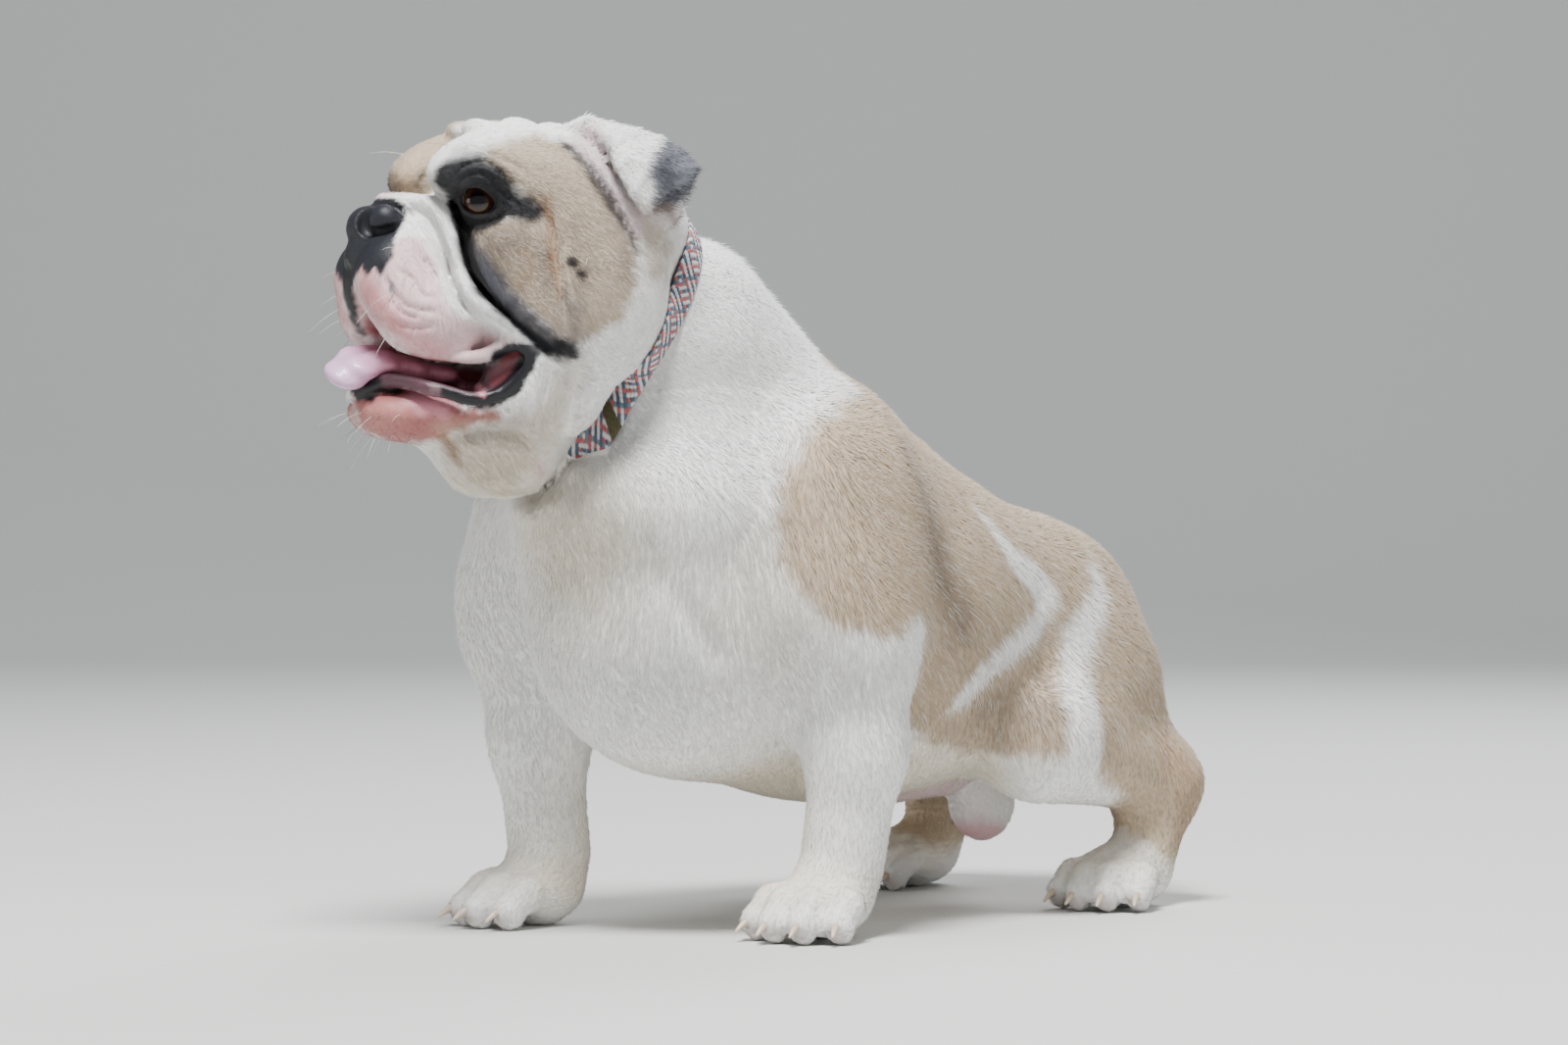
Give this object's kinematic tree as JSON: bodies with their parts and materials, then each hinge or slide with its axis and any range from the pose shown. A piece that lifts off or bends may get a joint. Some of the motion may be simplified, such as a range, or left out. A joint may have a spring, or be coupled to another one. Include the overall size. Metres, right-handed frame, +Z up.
{
  "type": "english bulldog",
  "caption": "Life-size standing dog of bulldog form, mouth open with the tongue out, head turned aside, wearing a braided collar.",
  "frame": {"origin": "centre of the bounding box in plan, on the floor plane under the paws", "axes": "+Z up, -Y towards the dog's front, +X towards the dog's left"},
  "size_m": [0.3396, 0.7012, 0.5479],
  "materials": {
    "cream_coat": "short dense fur",
    "fawn_coat": "short dense fur",
    "pink_skin": "bare skin, soft sheen",
    "black_nose": "moist pebbled skin",
    "tongue_skin": "wet",
    "eye": "wet brown eye",
    "collar_braid": "flat woven braid"
  },
  "bodies": {
    "root": {"head": "fawn_coat", "lower_jaw": "pink_skin", "nose": "black_nose", "tongue": "tongue_skin", "eye_left": "eye", "eye_right": "eye", "ear_left": "cream_coat", "ear_right": "cream_coat", "neck": "cream_coat", "collar": "collar_braid", "chest": "cream_coat", "rump": "fawn_coat", "foreleg_left": "cream_coat", "foreleg_right": "cream_coat", "forepaw_left": "cream_coat", "forepaw_right": "cream_coat", "hindleg_left": "fawn_coat", "hindleg_right": "fawn_coat", "hindpaw_left": "cream_coat", "hindpaw_right": "cream_coat", "tail": "cream_coat", "scrotum": "pink_skin"}
  },
  "joints": []
}
